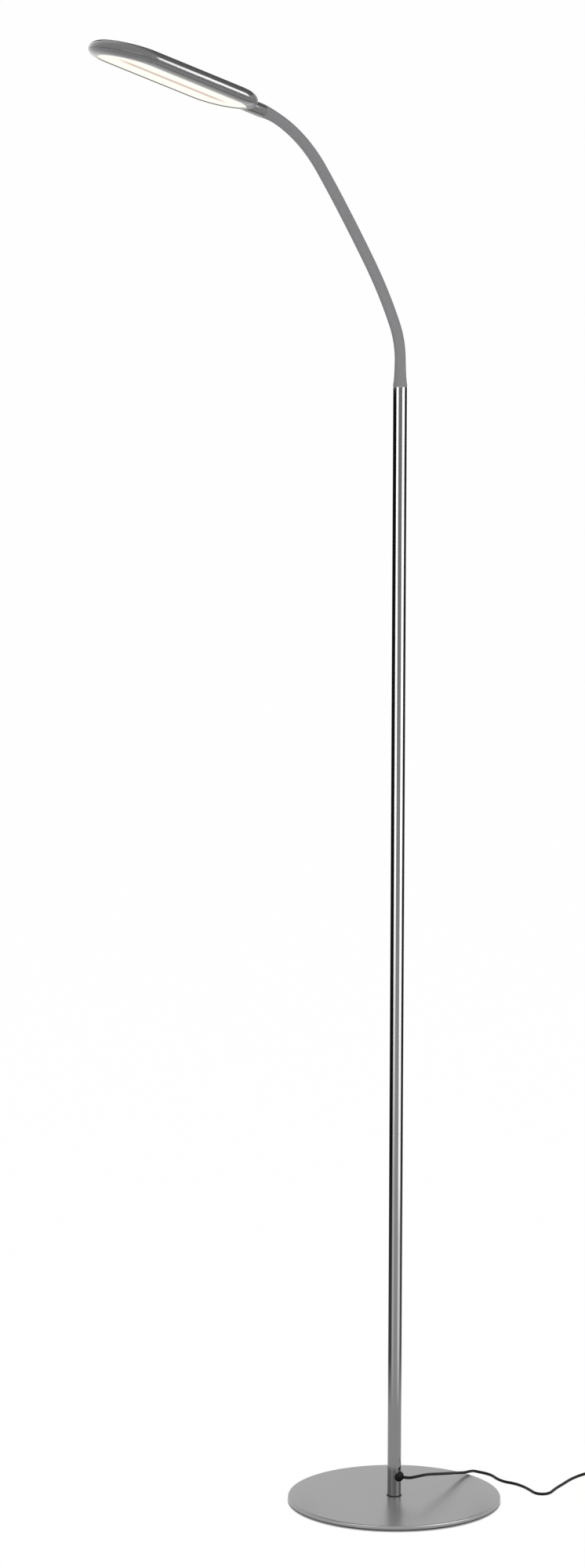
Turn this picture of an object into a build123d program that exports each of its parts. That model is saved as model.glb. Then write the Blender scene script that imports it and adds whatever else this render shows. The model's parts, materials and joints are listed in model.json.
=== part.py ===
from build123d import *
import os
from math import asin, cos, degrees, pi, radians, sin, sqrt, tan

# Gooseneck reading floor lamp.
#
# A slim pole on a round steel plate carries a flexible gooseneck and a long, flat LED head.
# The origin is the centre of the base on the floor, +Z is up, and the arm reaches towards -X.
# All lengths are in millimetres and all angles in degrees.
os.makedirs("parts", exist_ok=True)

# ---------------------------------------------------------------- driving dimensions
# clearances
slip = 0.05                     # radial play of a plug in its bore
reveal = 0.3                    # open line between two moulded shells
ball_gap = 0.3                  # between a gooseneck dome and its seat

# base
pad_radius = 121.0
pad_thickness = 1.5
plate_radius = 125.0
plate_thickness = 4.5
plate_edge_round = 2.0
bolt_shank_radius = 3.95
bolt_length = 14.0
bolt_head_radius = 7.5
bolt_head_thickness = 2.6
bolt_hole_play = 0.25
counterbore_play = 0.5
hex_key_width = 5.0
hex_key_depth = 1.5

# pole
pole_radius = 8.0
pole_wall = 1.0
pole_top = 1319.0               # height of the pole's upper end above the floor
pole_sections = 3
foot_insert_length = 18.0
coupler_length = 44.0
coupler_wall = 2.2
lead_radius = 1.6

# grommet and cord
grommet_height = 30.0
grommet_azimuth = -80.0         # direction from the pole, measured from +X
grommet_dome_radius = 6.5
grommet_dome_centre = 6.0       # distance from the pole's axis
grommet_tip = 12.3              # distance of the flat tip from the pole's axis
grommet_plug_radius = 4.0
grommet_inside = 5.0            # distance of its inner end from the pole's axis
cord_radius = 1.75

# gooseneck
sleeve_radius = 6.3
sleeve_bore = 5.0
core_bore = 3.0
ball_radius = 9.0
lower_end_length = 28.0
link_length = 43.8
link_bends = [24.5, 5.0, 4.0, 1.0, 1.0, 1.5, 11.5, 12.0]
upper_end_length = 30.0
upper_end_bend = 10.5
lower_flare_radius = 8.2
upper_flare_radius = 7.6
stub_radius = 6.0               # of both end fittings, inside the sleeve
stub_length = 8.0
core_seat_depth = 15.0          # how far the steel core reaches into an end fitting
ferrule_plug_length = 22.0

# head
head_straight = 138.0           # between the centres of the two round ends
rim_centre = 35.0               # side distance of the rim's ellipse from the middle line
rim_centre_height = 6.0         # above the diffuser's outer face
rim_width = 11.2
rim_drop = 7.2
rim_rise = 9.8
shell_wall = 1.8
bezel_wall = 2.0
skirt_wall = 1.2
skirt_height = 2.0              # how far the bezel's skirt reaches into the housing
rib_wall = 1.5
parting_height = 4.5
panel_radius = 34.7             # half the width of the lit opening
lip_overlap = 1.5
diffuser_thickness = 2.0
neck_length = 27.0              # of the collar outside the head
neck_height = 7.2               # of the collar's axis above the diffuser's outer face
neck_radius = 7.7
flange_width = 24.0
flange_thickness = 2.0
tray_wall = 0.8
tray_slot = 10.0                # half-width of the slot for the LEDs
board_radius = 12.0
board_thickness = 1.2
board_height = 9.0
spreader_radius = 30.0
spreader_thickness = 1.2
led_count = 22
led_size = 3.0
led_thickness = 0.8
boss_spacing = 100.0
boss_offset = 20.0
boss_radius = 3.0
screw_radius = 1.05
screw_head_radius = 2.3
screw_head_thickness = 1.5
screw_length = 3.2
driver_length = 30.0
driver_width = 24.0
driver_thickness = 1.0
driver_centre = 72.0            # distance from the head's centre, towards the neck
touch_pad_radius = 9.0
touch_pad_thickness = 0.5

# put-away coil and wall adapter
turn_pitch = 4.6                # between turns side by side and between layers
coil_radius = 26.0              # of the outermost half turn
coil_layers = 4
halves_per_layer = 4
coil_start = Vector(262.0, -93.0, 2.6)
tie_thickness = 0.6
tie_width = 8.0
tie_play = 0.25
adapter_width = 36.0
adapter_length = 46.0
adapter_height = 26.0
adapter_x = 312.0
adapter_round = 4.0
relief_tip_y = -122.0
relief_length = 12.0
cover_thickness = 3.0
blade_width = 6.3
blade_thickness = 1.5
blade_length = 17.5
blade_spacing = 12.7
blade_hole_radius = 1.6

# worked out from them
plate_top = pad_thickness + plate_thickness
bore_radius = pole_radius - pole_wall
plug_radius = bore_radius - slip
core_radius = sleeve_bore - slip
rim_bottom = rim_centre_height - rim_drop
rim_top = rim_centre_height + rim_rise
ceiling = rim_top - shell_wall
diffuser_radius = panel_radius + lip_overlap
spreader_height = board_height + board_thickness
spreader_top = spreader_height + spreader_thickness
seat_radius = ball_radius + ball_gap


# ---------------------------------------------------------------- base
with BuildPart() as floor_pad:
    with BuildSketch(Plane.XY):
        Circle(pad_radius)
    extrude(amount=pad_thickness)
floor_pad.part.label = "floor_pad"
export_step(floor_pad.part, "parts/floor_pad.step")

counterbore_depth = bolt_head_thickness + 0.2
with BuildPart() as base_plate:
    with BuildSketch(Plane.XY.offset(pad_thickness)):
        Circle(plate_radius)
    extrude(amount=plate_thickness)
    fillet(base_plate.edges().group_by(Axis.Z)[-1], radius=plate_edge_round)
    with Locations(Plane.XY.offset(pad_thickness).location):
        with Locations(Rotation(180, 0, 0)):
            CounterBoreHole(bolt_shank_radius + bolt_hole_play, bolt_head_radius + counterbore_play,
                            counterbore_depth, depth=plate_thickness)
base_plate.part.label = "base_plate"
export_step(base_plate.part, "parts/base_plate.step")

bolt_seat = pad_thickness + counterbore_depth
with BuildPart() as base_bolt:
    with BuildSketch(Plane.XY.offset(bolt_seat - bolt_head_thickness)):
        Circle(bolt_head_radius)
    extrude(amount=bolt_head_thickness)
    with BuildSketch(Plane.XY.offset(bolt_seat)):
        Circle(bolt_shank_radius)
    extrude(amount=bolt_length)
    fillet(base_bolt.edges().group_by(Axis.Z)[0], radius=0.8)
    with BuildSketch(Plane.XY.offset(bolt_seat - bolt_head_thickness)):
        RegularPolygon(hex_key_width / 2, 6, major_radius=False)
    extrude(amount=hex_key_depth, mode=Mode.SUBTRACT)
base_bolt.part.label = "base_bolt"
export_step(base_bolt.part, "parts/base_bolt.step")

# ---------------------------------------------------------------- pole
with BuildPart() as pole_foot_insert:
    with BuildSketch(Plane.XY.offset(plate_top)):
        Circle(plug_radius)
        Circle(bolt_shank_radius + slip, mode=Mode.SUBTRACT)
    extrude(amount=foot_insert_length)
    chamfer(pole_foot_insert.edges().group_by(Axis.Z)[-1], length=0.6)
pole_foot_insert.part.label = "pole_foot_insert"
export_step(pole_foot_insert.part, "parts/pole_foot_insert.step")

section_names = ["pole_lower_tube", "pole_middle_tube", "pole_upper_tube"]
section_length = (pole_top - plate_top) / pole_sections
grommet_turn = radians(grommet_azimuth)
grommet_axis = Vector(cos(grommet_turn), sin(grommet_turn), 0)
grommet_plane = Plane(origin=(0, 0, grommet_height), x_dir=(0, 0, 1), z_dir=grommet_axis)

for number, name in enumerate(section_names):
    with BuildPart() as pole_tube:
        with BuildSketch(Plane.XY.offset(plate_top + number * section_length)):
            Circle(pole_radius)
            Circle(bore_radius, mode=Mode.SUBTRACT)
        extrude(amount=section_length)
        if number == 0:
            with BuildSketch(grommet_plane):
                Circle(grommet_plug_radius + slip)
            extrude(amount=pole_radius + 1, mode=Mode.SUBTRACT)
    pole_tube.part.label = name
    export_step(pole_tube.part, f"parts/{name}.step")

# each coupler is pressed into the tube below and screwed into the tube above
for number, name in enumerate(["pole_lower_coupler", "pole_upper_coupler"], start=1):
    middle = plate_top + number * section_length
    with BuildPart() as coupler:
        with BuildSketch(Plane.XY.offset(middle - coupler_length / 2)):
            Circle(plug_radius)
            Circle(plug_radius - coupler_wall, mode=Mode.SUBTRACT)
        extrude(amount=coupler_length)
        chamfer(coupler.edges().filter_by(GeomType.CIRCLE).group_by(Axis.Z)[-1].sort_by(SortBy.RADIUS)[-1],
                length=0.8)
    coupler.part.label = name
    export_step(coupler.part, f"parts/{name}.step")

# ---------------------------------------------------------------- cord grommet
with BuildPart() as cord_grommet:
    with Locations(grommet_axis * grommet_dome_centre + Vector(0, 0, grommet_height)):
        Sphere(grommet_dome_radius)
    with BuildSketch(Plane.XY.offset(grommet_height - 2 * grommet_dome_radius)):
        Circle(pole_radius + slip)
    extrude(amount=4 * grommet_dome_radius, mode=Mode.SUBTRACT)
    with BuildSketch(grommet_plane.offset(grommet_inside)):
        Circle(grommet_plug_radius)
    extrude(amount=grommet_dome_centre + 3 - grommet_inside)
    with BuildSketch(grommet_plane.offset(grommet_tip)):
        Circle(grommet_dome_radius)
    extrude(amount=grommet_dome_radius, mode=Mode.SUBTRACT)
    split(bisect_by=grommet_plane.offset(grommet_inside), keep=Keep.TOP)
cord_grommet.part.label = "cord_grommet"
export_step(cord_grommet.part, "parts/cord_grommet.step")

# ---------------------------------------------------------------- gooseneck
def along(place, length, bend):
    """Reach, height and lean after an arc of this length that leans over by `bend` more."""
    reach, height, lean = place
    half_bend = radians(bend) / 2
    chord = length * sin(half_bend) / half_bend if bend else length
    direction = radians(lean) + half_bend
    return reach + chord * sin(direction), height + chord * cos(direction), lean + bend


def spot(place):
    """The point in space of a place on the gooseneck."""
    return Vector(-place[0], 0, place[1])


def heading(place):
    """The direction of the gooseneck at a place, towards the head."""
    return Vector(-sin(radians(place[2])), 0, cos(radians(place[2])))


def square_to(place):
    """The plane square to the gooseneck at a place."""
    return Plane(origin=spot(place), x_dir=(0, 1, 0), z_dir=heading(place))


def beside(place):
    """The plane that holds the gooseneck's axis and +Y, with the axis as its own Y."""
    forward = heading(place)
    return Plane(origin=spot(place), x_dir=(0, 1, 0), z_dir=Vector(0, 1, 0).cross(forward))


def dome_below(place, outer, inner):
    """The domed lower end of a tube, round the joint's centre; call it inside a part."""
    def drop(radius):
        return -sqrt(ball_radius ** 2 - radius ** 2)
    between = (outer + inner) / 2
    with BuildSketch(beside(place)) as half_dome:
        with BuildLine():
            Polyline((inner, drop(inner)), (inner, 0), (outer, 0), (outer, drop(outer)))
            ThreePointArc((outer, drop(outer)), (between, drop(between)), (inner, drop(inner)))
        make_face()
    revolve(half_dome.sketch, axis=Axis(spot(place), heading(place)))


def bent_tube(start, length, bend, outer, inner):
    """A tube along an arc of the gooseneck; call it inside a part."""
    middle = along(start, length / 2, bend / 2)
    end = along(start, length, bend)
    with BuildLine() as route:
        ThreePointArc(spot(start), spot(middle), spot(end))
    with BuildSketch(square_to(start)) as section:
        Circle(outer)
        Circle(inner, mode=Mode.SUBTRACT)
    sweep(section.sketch, path=route.line)


pole_end = (0.0, pole_top, 0.0)
joints_at = [(0.0, pole_top + lower_end_length, 0.0)]
for link_bend in link_bends:
    joints_at.append(along(joints_at[-1], link_length, link_bend))
neck_end = along(joints_at[-1], upper_end_length, upper_end_bend)
stub_bend = upper_end_bend * stub_length / upper_end_length
stub_start = along(joints_at[-1], upper_end_length - stub_length, upper_end_bend - stub_bend)
stub_middle = along(stub_start, stub_length / 2, stub_bend / 2)

with BuildPart() as gooseneck_lower_ferrule:
    with BuildSketch(Plane.XY.offset(pole_top - ferrule_plug_length)):
        Circle(plug_radius)
    extrude(amount=ferrule_plug_length)
    with BuildSketch(Plane.XY.offset(pole_top)):
        Circle(stub_radius)
    extrude(amount=stub_length)
    with BuildSketch(Plane.XY.offset(pole_top + stub_length - core_seat_depth)):
        Circle(core_radius + slip)
    extrude(amount=core_seat_depth, mode=Mode.SUBTRACT)
    with BuildSketch(Plane.XY.offset(pole_top - ferrule_plug_length)):
        Circle(core_bore)
    extrude(amount=ferrule_plug_length, mode=Mode.SUBTRACT)
    chamfer(gooseneck_lower_ferrule.edges().group_by(Axis.Z)[0].sort_by(SortBy.RADIUS)[-1], length=1)
gooseneck_lower_ferrule.part.label = "gooseneck_lower_ferrule"
export_step(gooseneck_lower_ferrule.part, "parts/gooseneck_lower_ferrule.step")

# the sleeve's lower end is moulded to a flare that covers the pole's end
with BuildPart() as sleeve_lower_end:
    with BuildSketch(Plane.XZ):
        with BuildLine():
            stub_top = pole_top + stub_length + slip
            waist = (lower_flare_radius + 2 * sleeve_radius) / 3
            Polyline((sleeve_radius, joints_at[0][1]), (sleeve_bore, joints_at[0][1]),
                     (sleeve_bore, stub_top), (stub_radius + slip, stub_top),
                     (stub_radius + slip, pole_top), (lower_flare_radius, pole_top))
            ThreePointArc((lower_flare_radius, pole_top), (waist, pole_top + 0.4 * lower_end_length),
                          (sleeve_radius, joints_at[0][1]))
        make_face()
    revolve(axis=Axis.Z)
    with Locations(spot(joints_at[0])):
        Sphere(seat_radius, mode=Mode.SUBTRACT)
sleeve_lower_end.part.label = "gooseneck_sleeve_lower_end"
export_step(sleeve_lower_end.part, "parts/gooseneck_sleeve_lower_end.step")

with BuildPart() as core_lower_end:
    core_foot = pole_top + stub_length - core_seat_depth
    with BuildSketch(Plane.XY.offset(core_foot)):
        Circle(core_radius)
        Circle(core_bore, mode=Mode.SUBTRACT)
    extrude(amount=joints_at[0][1] - core_foot)
    with Locations(spot(joints_at[0])):
        Sphere(seat_radius, mode=Mode.SUBTRACT)
core_lower_end.part.label = "gooseneck_core_lower_end"
export_step(core_lower_end.part, "parts/gooseneck_core_lower_end.step")

# eight lengths between the joints, each with its piece of sleeve and its piece of steel core
for number, link_bend in enumerate(link_bends):
    for layer, outer, inner in [("sleeve", sleeve_radius, sleeve_bore), ("core", core_radius, core_bore)]:
        with BuildPart() as link:
            bent_tube(joints_at[number], link_length, link_bend, outer, inner)
            dome_below(joints_at[number], outer, inner)
            with Locations(spot(joints_at[number + 1])):
                Sphere(seat_radius, mode=Mode.SUBTRACT)
        link.part.label = f"gooseneck_{layer}_{number + 1}"
        export_step(link.part, f"parts/gooseneck_{layer}_{number + 1}.step")

# the sleeve's upper end flares out to the head's neck
with BuildPart() as sleeve_upper_end:
    for share, flare in [(0, 0), (0.35, 0.05), (0.7, 0.4), (1, 1)]:
        flare_at = along(joints_at[-1], share * upper_end_length, share * upper_end_bend)
        with BuildSketch(square_to(flare_at)):
            Circle(sleeve_radius + flare * (upper_flare_radius - sleeve_radius))
    loft()
    with BuildLine():
        end_middle = along(joints_at[-1], upper_end_length / 2, upper_end_bend / 2)
        ThreePointArc(spot(joints_at[-1]), spot(end_middle), spot(neck_end))
    with BuildSketch(square_to(joints_at[-1])):
        Circle(sleeve_bore)
    sweep(mode=Mode.SUBTRACT)
    with BuildLine() as stub_line:
        ThreePointArc(spot(stub_start), spot(stub_middle), spot(neck_end))
    with BuildSketch(square_to(stub_start)) as stub_socket:
        Circle(stub_radius + slip)
    sweep(stub_socket.sketch, path=stub_line.line, mode=Mode.SUBTRACT)
    dome_below(joints_at[-1], sleeve_radius, sleeve_bore)
sleeve_upper_end.part.label = "gooseneck_sleeve_upper_end"
export_step(sleeve_upper_end.part, "parts/gooseneck_sleeve_upper_end.step")

with BuildPart() as core_upper_end:
    bent_tube(joints_at[-1], upper_end_length, upper_end_bend, core_radius, core_bore)
    dome_below(joints_at[-1], core_radius, core_bore)
    with BuildSketch(square_to(neck_end)):
        Circle(core_radius)
        Circle(core_bore, mode=Mode.SUBTRACT)
    extrude(amount=core_seat_depth - stub_length)
core_upper_end.part.label = "gooseneck_core_upper_end"
export_step(core_upper_end.part, "parts/gooseneck_core_upper_end.step")

# ---------------------------------------------------------------- supply lead inside the pole
lead_top = joints_at[0][1] - seat_radius
with BuildPart() as pole_lead:
    lead_start = grommet_axis * grommet_inside + Vector(0, 0, grommet_height)
    with BuildLine():
        FilletPolyline(lead_start, (0, 0, grommet_height), (0, 0, lead_top), radius=2 * lead_radius)
    with BuildSketch(Plane(origin=lead_start, z_dir=-grommet_axis)):
        Circle(lead_radius)
    sweep()
pole_lead.part.label = "pole_lead"
export_step(pole_lead.part, "parts/pole_lead.step")

# ---------------------------------------------------------------- head
# the head's own plane: X from the neck to the tip, Z up through the housing, Z = 0 on the
# outer face of the diffuser
towards_tip = heading(neck_end)
through_head = Vector(sin(radians(90 - neck_end[2])), 0, cos(radians(90 - neck_end[2])))
half_length = head_straight / 2
flange_from = half_length + rim_centre      # distance of the flange from the head's centre
head_end = flange_from + rim_width
head_centre = (spot(neck_end) + towards_tip * (head_end + neck_length)
               - through_head * neck_height)
head = Plane(origin=head_centre, x_dir=towards_tip, z_dir=through_head)


def head_plane(x=0.0, y=0.0, z=0.0):
    """The head's plane moved to a point given in the head's own directions."""
    return Plane(origin=head.from_local_coords((x, y, z)), x_dir=head.x_dir, z_dir=head.z_dir)


def head_section(x=0.0):
    """The plane across the head: its X is the side distance, its Y the height."""
    return Plane(origin=head.from_local_coords((x, 0, 0)), x_dir=head.y_dir, z_dir=head.x_dir)


def round_head(profile):
    """Carry a half section round the head: along both straight sides and round both ends."""
    with BuildSketch(head_section()) as whole_section:
        add(profile)
        mirror(about=Plane.YZ)
    extrude(whole_section.sketch, amount=half_length, both=True)
    for side in (-1, 1):
        with BuildSketch(head_section(side * half_length)) as half_section:
            add(profile)
        turning_axis = Axis(head.from_local_coords((side * half_length, 0, 0)), head.z_dir * -side)
        revolve(half_section.sketch, axis=turning_axis, revolution_arc=180)


def rim_side(height, shrink=0.0):
    """The side distance of the rim's surface at a height."""
    rise = rim_rise if height > rim_centre_height else rim_drop
    share = (height - rim_centre_height) / (rise - shrink)
    return rim_centre + (rim_width - shrink) * sqrt(1 - share ** 2)


def rim_dip(height):
    """The angle below level of the rim's lower ellipse at a height."""
    return degrees(asin((rim_centre_height - height) / rim_drop))


# the outer envelope of the closed head
with BuildSketch() as envelope_profile:
    with BuildLine():
        Line((0, rim_bottom), (rim_centre, rim_bottom))
        EllipticalCenterArc((rim_centre, rim_centre_height), rim_width, rim_drop,
                            start_angle=270, arc_size=90)
        EllipticalCenterArc((rim_centre, rim_centre_height), rim_width, rim_rise,
                            start_angle=0, arc_size=90)
        Polyline((rim_centre, rim_top), (0, rim_top), (0, rim_bottom))
    make_face()

with BuildPart() as head_envelope:
    round_head(envelope_profile.sketch)

housing_foot = parting_height + reveal
with BuildSketch() as housing_profile:
    with BuildLine():
        outer_foot = (rim_side(housing_foot), housing_foot)
        EllipticalCenterArc((rim_centre, rim_centre_height), rim_width, rim_drop,
                            start_angle=-rim_dip(housing_foot), arc_size=rim_dip(housing_foot))
        EllipticalCenterArc((rim_centre, rim_centre_height), rim_width, rim_rise,
                            start_angle=0, arc_size=90)
        Polyline((rim_centre, rim_top), (0, rim_top), (0, ceiling), (rim_centre, ceiling))
        EllipticalCenterArc((rim_centre, rim_centre_height), rim_width - shell_wall,
                            rim_rise - shell_wall, start_angle=0, arc_size=90)
        inner_side = rim_centre + rim_width - shell_wall
        Polyline((inner_side, rim_centre_height), (inner_side, housing_foot), outer_foot)
    make_face()

spigot_radius = stub_radius
boss_places = [(x, y) for x in (-boss_spacing / 2, boss_spacing / 2) for y in (-boss_offset, boss_offset)]

with BuildPart() as head_housing:
    round_head(housing_profile.sketch)
    with BuildSketch(head_plane(z=spreader_top)):
        with Locations(*boss_places):
            Circle(boss_radius)
            Circle(screw_radius + slip, mode=Mode.SUBTRACT)
    extrude(amount=ceiling - spreader_top)
    with BuildSketch(head_section(-head_end - 1)):
        with Locations((0, neck_height)):
            Circle(spigot_radius + slip)
    extrude(amount=head_end + 1 - flange_from, mode=Mode.SUBTRACT)
head_housing.part.label = "head_housing"
export_step(head_housing.part, "parts/head_housing.step")

# the bezel carries the diffuser on its lip and snaps into the housing with a skirt
rib_from = diffuser_radius + reveal
rib_to = rib_from + rib_wall
rib_height = diffuser_thickness + 0.2
skirt_outer = inner_side - reveal
skirt_inner = skirt_outer - skirt_wall
skirt_top = parting_height + skirt_height
bezel_floor = rim_bottom + bezel_wall
with BuildSketch() as bezel_profile:
    with BuildLine():
        outer_top = (rim_side(parting_height), parting_height)
        Line((panel_radius, rim_bottom), (rim_centre, rim_bottom))
        EllipticalCenterArc((rim_centre, rim_centre_height), rim_width, rim_drop,
                            start_angle=270, arc_size=90 - rim_dip(parting_height))
        Polyline(outer_top, (skirt_outer, parting_height), (skirt_outer, skirt_top),
                 (skirt_inner, skirt_top), (skirt_inner, bezel_floor + bezel_wall),
                 (rim_centre + rim_width / 2, bezel_floor), (rib_to, bezel_floor),
                 (rib_to, rib_height), (rib_from, rib_height), (rib_from, 0),
                 (panel_radius, 0), (panel_radius, rim_bottom))
    make_face()

with BuildPart() as head_bezel:
    round_head(bezel_profile.sketch)
    with BuildSketch(head_section(-head_end - 1)):
        with Locations((0, neck_height)):
            Circle(spigot_radius + slip)
    extrude(amount=head_end + 1 - flange_from, mode=Mode.SUBTRACT)
head_bezel.part.label = "head_bezel"
export_step(head_bezel.part, "parts/head_bezel.step")

with BuildPart() as diffuser:
    with BuildSketch(head_plane()):
        SlotCenterToCenter(head_straight, 2 * diffuser_radius)
    extrude(amount=diffuser_thickness)
diffuser.part.label = "diffuser"
export_step(diffuser.part, "parts/diffuser.step")

with BuildSketch() as tray_profile:
    with BuildLine():
        tray_foot = diffuser_thickness + 1
        Polyline((diffuser_radius - 1.8, diffuser_thickness), (diffuser_radius, diffuser_thickness),
                 (diffuser_radius, tray_foot), (diffuser_radius - 1.2, tray_foot),
                 (tray_slot + 1, board_height), (tray_slot, board_height),
                 (tray_slot, board_height - tray_wall), close=True)
    make_face()
with BuildPart() as reflector_tray:
    round_head(tray_profile.sketch)
reflector_tray.part.label = "reflector_tray"
export_step(reflector_tray.part, "parts/reflector_tray.step")

with BuildPart() as led_board:
    with BuildSketch(head_plane(z=board_height)):
        SlotCenterToCenter(head_straight, 2 * board_radius)
    extrude(amount=board_thickness)
led_board.part.label = "led_board"
export_step(led_board.part, "parts/led_board.step")

with BuildPart() as leds:
    with BuildSketch(head_plane(z=board_height)):
        with GridLocations(head_straight / (led_count - 1), 0, led_count, 1):
            RectangleRounded(led_size, led_size, 0.4)
    extrude(amount=-led_thickness)
leds.part.label = "leds"
export_step(leds.part, "parts/leds.step")

with BuildPart() as heat_spreader:
    with BuildSketch(head_plane(z=spreader_height)):
        SlotCenterToCenter(head_straight, 2 * spreader_radius)
        with Locations(*boss_places):
            Circle(screw_radius + 0.35, mode=Mode.SUBTRACT)
    extrude(amount=spreader_thickness)
heat_spreader.part.label = "heat_spreader"
export_step(heat_spreader.part, "parts/heat_spreader.step")

with BuildPart() as head_screws:
    with BuildSketch(head_plane(z=spreader_height)):
        with Locations(*boss_places):
            Circle(screw_head_radius)
    extrude(amount=-screw_head_thickness)
    with BuildSketch(head_plane(z=spreader_height)):
        with Locations(*boss_places):
            Circle(screw_radius)
    extrude(amount=screw_length)
head_screws.part.label = "head_screws"
export_step(head_screws.part, "parts/head_screws.step")

with BuildPart() as driver_board:
    with BuildSketch(head_plane(x=-driver_centre, z=spreader_top)):
        Rectangle(driver_length, driver_width)
    extrude(amount=driver_thickness)
    with BuildSketch(head_plane(x=-driver_centre, z=spreader_top + driver_thickness)):
        with Locations((-9, 4)):
            Rectangle(6, 6)
        with Locations((3, -5)):
            Rectangle(8, 5)
        with Locations((9, 6)):
            Circle(2.5)
    extrude(amount=1.2)
driver_board.part.label = "driver_board"
export_step(driver_board.part, "parts/driver_board.step")

with BuildPart() as touch_sensor:
    with BuildSketch(head_plane(z=ceiling - touch_pad_thickness)):
        Circle(touch_pad_radius)
    extrude(amount=touch_pad_thickness)
touch_sensor.part.label = "touch_sensor"
export_step(touch_sensor.part, "parts/touch_sensor.step")

# the neck collar is moulded to the head's rounded end and locked behind it by a flange
neck_plane = square_to(neck_end)
neck_reach = head_end + neck_length - flange_from
with BuildPart() as head_neck:
    with BuildSketch(neck_plane):
        Circle(neck_radius)
    extrude(amount=neck_length + rim_width)
    add(head_envelope.part, mode=Mode.SUBTRACT)
    with BuildSketch(neck_plane.offset(neck_length - 4)):
        Circle(spigot_radius)
    extrude(amount=neck_reach - flange_thickness - neck_length + 4)
    flange_height = ceiling - 4 * reveal - diffuser_thickness - 2
    flange_middle = diffuser_thickness + 2 + flange_height / 2 - neck_height
    with BuildSketch(head_section(-flange_from)):
        with Locations((0, neck_height + flange_middle)):
            Rectangle(flange_width, flange_height)
    extrude(amount=-flange_thickness)
    with BuildSketch(neck_plane):
        Circle(core_radius + slip)
    extrude(amount=core_seat_depth - stub_length, mode=Mode.SUBTRACT)
    with BuildSketch(neck_plane):
        Circle(core_bore)
    extrude(amount=neck_reach + 1, mode=Mode.SUBTRACT)
    bent_tube(stub_start, stub_length, stub_bend, stub_radius, core_radius + slip)
head_neck.part.label = "head_neck"
export_step(head_neck.part, "parts/head_neck.step")

# ---------------------------------------------------------------- cord on the floor
cord_start = grommet_axis * grommet_tip + Vector(0, 0, grommet_height)
route = [
    cord_start, cord_start + grommet_axis * 8.0, (10.0, -26.6, 29.7), (20.0, -27.6, 29.2), (34.0, -23.0, 27.8),
    (54.0, -19.0, 24.6), (78.0, -13.0, 19.0), (101.0, -5.5, 12.8), (117.0, -2.0, 8.8),
    (128.5, -0.3, 8.3), (136.5, 1.6, 6.7), (144.8, 2.3, 3.9), (151.5, -1.7, 2.4),
    (154.7, -9.0, 1.9), (153.2, -17.0, 1.8), (147.5, -28.5, 1.85), (142.5, -43.0, 1.8),
    (145.5, -57.0, 1.85), (144.5, -72.0, 1.8), (139.5, -88.0, 1.85), (135.0, -99.0, 1.8),
    (135.2, -107.0, 1.85), (140.2, -113.8, 1.8), (148.5, -116.2, 1.85), (158.0, -113.0, 1.8),
    (170.5, -104.5, 1.85), (186.0, -98.5, 1.8), (206.0, -91.5, 1.85), (226.0, -88.3, 1.9),
    (240.0, -89.5, 2.2), (249.5, coil_start.Y, coil_start.Z),
    coil_start - Vector(2 * cord_radius, 0, 0),
]


def corner_radii(points):
    """The bend radius at each inner point: 0.45 of the shorter run over tan(turn / 2)."""
    radii = []
    for before, corner, after in zip(points, points[1:], points[2:]):
        first_run = Vector(corner) - Vector(before)
        second_run = Vector(after) - Vector(corner)
        shorter = min(first_run.length, second_run.length)
        radii.append(0.45 * shorter / tan(radians(first_run.get_angle(second_run)) / 2))
    return radii


def report_tube(name, tube, path_length):
    """Print a tube's volume beside its section times its length."""
    expected = pi * cord_radius ** 2 * path_length
    print(f"{name}: length {path_length:.1f}, volume {tube.volume:.1f}, section x length {expected:.1f}")


free_radii = corner_radii(route)
with BuildPart() as cord_free:
    with BuildLine() as free_line:
        FilletPolyline(*route, radius=free_radii)
    with BuildSketch(Plane(origin=cord_start, z_dir=Vector(route[1]) - cord_start)):
        Circle(cord_radius)
    sweep()
cord_free.part.label = "cord_free"
export_step(cord_free.part, "parts/cord_free.step")
print("cord radii:", [round(radius, 1) for radius in free_radii])
report_tube("cord_free", cord_free.part, free_line.wires()[0].length)

# ---------------------------------------------------------------- put-away coil
# flat half turns about two centres make each spiral; at the end of a layer one half turn
# climbs a pitch and the spiral turns back
half_turns = []
step = turn_pitch / 2
innermost = coil_radius - halves_per_layer * step
for count in range(halves_per_layer + 1):
    half_turns.append((coil_radius - count * step, 0))
for layer in range(1, coil_layers):
    inwards = layer % 2 == 0
    climb_radius = coil_radius - step / 2 if inwards else innermost - step / 2
    half_turns.append((climb_radius, turn_pitch))
    for count in range(halves_per_layer):
        wider = halves_per_layer - 1 - count if inwards else count
        half_turns.append((innermost + wider * step, 0))

coil_ends = []
with BuildPart() as cord_coil:
    with BuildLine() as coil_line:
        lead_in = coil_start - Vector(2 * cord_radius, 0, 0)
        Line(lead_in, coil_start)
        here = coil_start
        forward = Vector(1, 0, 0)
        for radius, climb in half_turns:
            inside = forward.rotate(Axis.Z, -90)
            bulge = sqrt(radius ** 2 + (climb / 2) ** 2)
            quarter = here + inside * radius + forward * bulge + Vector(0, 0, climb / 2)
            there = here + inside * 2 * radius + Vector(0, 0, climb)
            first = TangentArc(here, quarter, tangent=forward)
            TangentArc(quarter, there, tangent=first % 1)
            here = there
            forward = -forward
        coil_end = here + forward * 2 * cord_radius
        Line(here, coil_end)
    with BuildSketch(Plane(origin=lead_in, z_dir=(1, 0, 0))):
        Circle(cord_radius)
    sweep()
cord_coil.part.label = "cord_coil"
export_step(cord_coil.part, "parts/cord_coil.step")
coil_wire = coil_line.wires()[0]
report_tube("cord_coil", cord_coil.part, coil_wire.length)


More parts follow.
